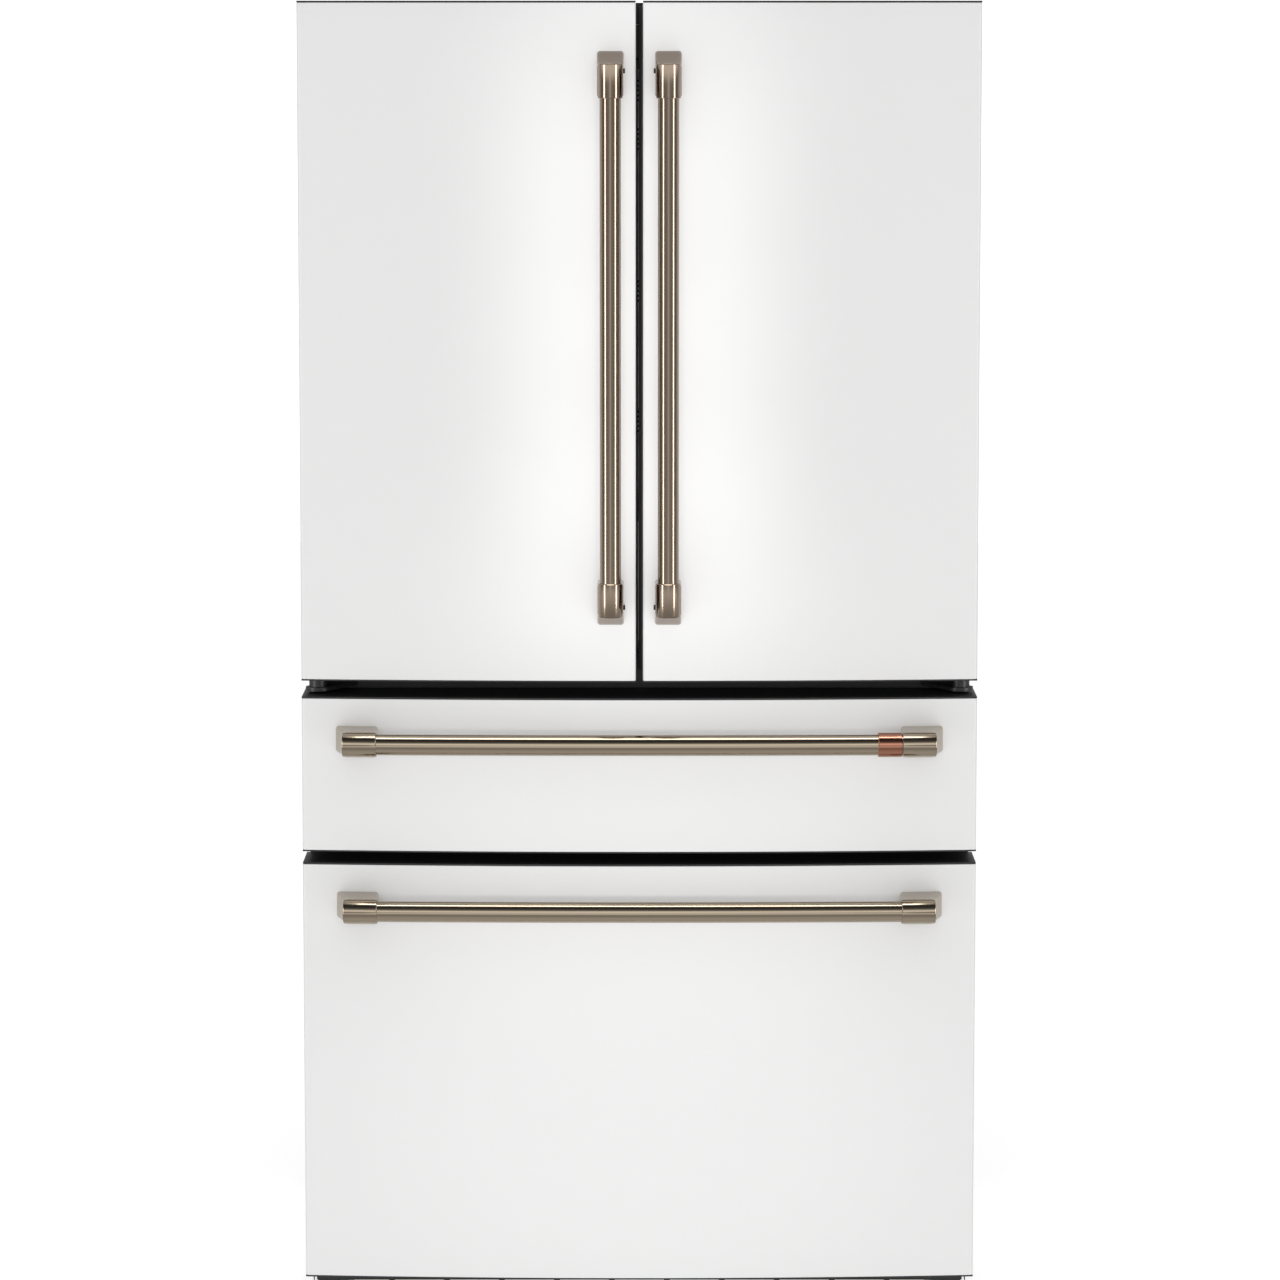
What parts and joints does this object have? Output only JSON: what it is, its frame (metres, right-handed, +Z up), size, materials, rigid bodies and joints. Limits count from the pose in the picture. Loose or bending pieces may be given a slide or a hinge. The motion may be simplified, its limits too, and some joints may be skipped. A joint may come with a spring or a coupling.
{
  "type": "french door refrigerator",
  "caption": "Free-standing french door refrigerator with two hinged upper doors, a middle drawer, a bottom freezer drawer and bar handles.",
  "frame": {"origin": "on the floor under the middle of the overall box, handles included", "axes": "+Z up, the doors and drawers face -Y, and +X is to the right as seen from the front"},
  "size_m": [0.908, 0.794, 1.775],
  "materials": {
    "white_paint": "matt",
    "galvanised": "dull zinc",
    "foam": "rigid foam",
    "white_liner": "satin",
    "black_paint": "satin",
    "black_plastic": "matt",
    "hinge_steel": "plated",
    "shelf_glass": "clear",
    "shelf_trim": "satin",
    "clear_plastic": "clear",
    "compressor_paint": "gloss",
    "coil_steel": "plain",
    "slide_steel": "zinc",
    "seal_rubber": "matt",
    "bronze": "brushed bronze",
    "copper": "brushed copper",
    "bin_plastic": "clear"
  },
  "bodies": {
    "cabinet": {"cabinet_shell": "white_paint", "rear_panel": "galvanised", "insulation_foam": "foam", "fresh_food_liner": "white_liner", "drawer_liner": "white_liner", "freezer_liner": "white_liner", "front_frame": "black_paint", "base_frame": "black_paint", "base_grille": "black_plastic", "top_covers": "black_plastic", "control_panel": "black_plastic", "door_hinges": "hinge_steel", "glass_shelves": "shelf_glass", "shelf_frames": "shelf_trim", "crisper_cover": "shelf_trim", "compressor": "compressor_paint", "condenser_coil": "coil_steel", "evaporator_unit": "coil_steel", "slide_rails_fixed": "slide_steel"},
    "left_door": {"left_door_skin": "white_paint", "left_door_liner": "white_liner", "left_door_edge_trim": "black_plastic", "left_door_gasket": "seal_rubber", "left_door_handle_bar": "bronze", "left_door_handle_posts": "bronze", "left_door_bins": "bin_plastic"},
    "mullion": {"flipper_mullion": "black_plastic"},
    "right_door": {"right_door_skin": "white_paint", "right_door_liner": "white_liner", "right_door_edge_trim": "black_plastic", "right_door_gasket": "seal_rubber", "right_door_handle_bar": "bronze", "right_door_handle_posts": "bronze", "right_door_bins": "bin_plastic"},
    "middle_drawer": {"drawer_skin": "white_paint", "drawer_core": "white_liner", "drawer_edge_trim": "black_plastic", "drawer_slides_inner": "slide_steel", "drawer_gasket": "seal_rubber", "drawer_handle_bar": "bronze", "drawer_handle_posts": "bronze", "drawer_handle_band": "copper", "drawer_tub": "bin_plastic"},
    "drawer_slide": {"drawer_slides_middle": "slide_steel"},
    "freezer_drawer": {"freezer_skin": "white_paint", "freezer_core": "white_liner", "freezer_edge_trim": "black_plastic", "freezer_slides_inner": "slide_steel", "freezer_gasket": "seal_rubber", "freezer_handle_bar": "bronze", "freezer_handle_posts": "bronze", "freezer_lower_basket": "bin_plastic"},
    "freezer_slide": {"freezer_slides_middle": "slide_steel"},
    "upper_basket": {"freezer_upper_basket": "bin_plastic"},
    "left_crisper": {"crisper_left": "clear_plastic"},
    "right_crisper": {"crisper_right": "clear_plastic"},
    "left_leg": {"leveling_leg_left": "hinge_steel"},
    "right_leg": {"leveling_leg_right": "hinge_steel"},
    "rollers": {"rear_rollers": "black_plastic"},
    "fan": {"condenser_fan": "black_plastic"}
  },
  "joints": [
    {"name": "left_door_hinge", "type": "hinge", "parent": "cabinet", "child": "left_door", "pos_m": [-0.434, -0.2685, 1.3], "axis": [0, 0, -1], "range_deg": [0, 120]},
    {"name": "right_door_hinge", "type": "hinge", "parent": "cabinet", "child": "right_door", "pos_m": [0.434, -0.2685, 1.3], "axis": [0, 0, 1], "range_deg": [0, 120]},
    {"name": "mullion_hinge", "type": "hinge", "parent": "left_door", "child": "mullion", "pos_m": [-0.056, -0.2005, 1.3], "axis": [0, 0, 1], "range_deg": [0, 80]},
    {"name": "middle_drawer_slide", "type": "slide", "parent": "cabinet", "child": "middle_drawer", "axis": [0, -1, 0], "range_m": [0, 0.4]},
    {"name": "middle_drawer_rails", "type": "slide", "parent": "cabinet", "child": "drawer_slide", "axis": [0, -1, 0], "range_m": [0, 0.2]},
    {"name": "freezer_drawer_slide", "type": "slide", "parent": "cabinet", "child": "freezer_drawer", "axis": [0, -1, 0], "range_m": [0, 0.4]},
    {"name": "freezer_drawer_rails", "type": "slide", "parent": "cabinet", "child": "freezer_slide", "axis": [0, -1, 0], "range_m": [0, 0.2]},
    {"name": "upper_basket_slide", "type": "slide", "parent": "cabinet", "child": "upper_basket", "axis": [0, -1, 0], "range_m": [0, 0.2]},
    {"name": "left_crisper_slide", "type": "slide", "parent": "cabinet", "child": "left_crisper", "axis": [0, -1, 0], "range_m": [0, 0.11]},
    {"name": "right_crisper_slide", "type": "slide", "parent": "cabinet", "child": "right_crisper", "axis": [0, -1, 0], "range_m": [0, 0.11]},
    {"name": "left_leg_screw", "type": "hinge", "parent": "cabinet", "child": "left_leg", "pos_m": [-0.41, -0.1815, 0.03], "axis": [0, 0, 1], "continuous": true},
    {"name": "right_leg_screw", "type": "hinge", "parent": "cabinet", "child": "right_leg", "pos_m": [0.41, -0.1815, 0.03], "axis": [0, 0, 1], "continuous": true},
    {"name": "roller_axle", "type": "hinge", "parent": "cabinet", "child": "rollers", "pos_m": [0, 0.352, 0.028], "axis": [1, 0, 0], "continuous": true},
    {"name": "fan_shaft", "type": "hinge", "parent": "cabinet", "child": "fan", "pos_m": [-0.04, 0.3, 0.15], "axis": [1, 0, 0], "continuous": true}
  ],
  "couplings": [
    {"joint": "middle_drawer_rails", "follows": "middle_drawer_slide", "ratio": 0.5},
    {"joint": "freezer_drawer_rails", "follows": "freezer_drawer_slide", "ratio": 0.5},
    {"joint": "upper_basket_slide", "follows": "freezer_drawer_slide", "ratio": 0.5}
  ]
}
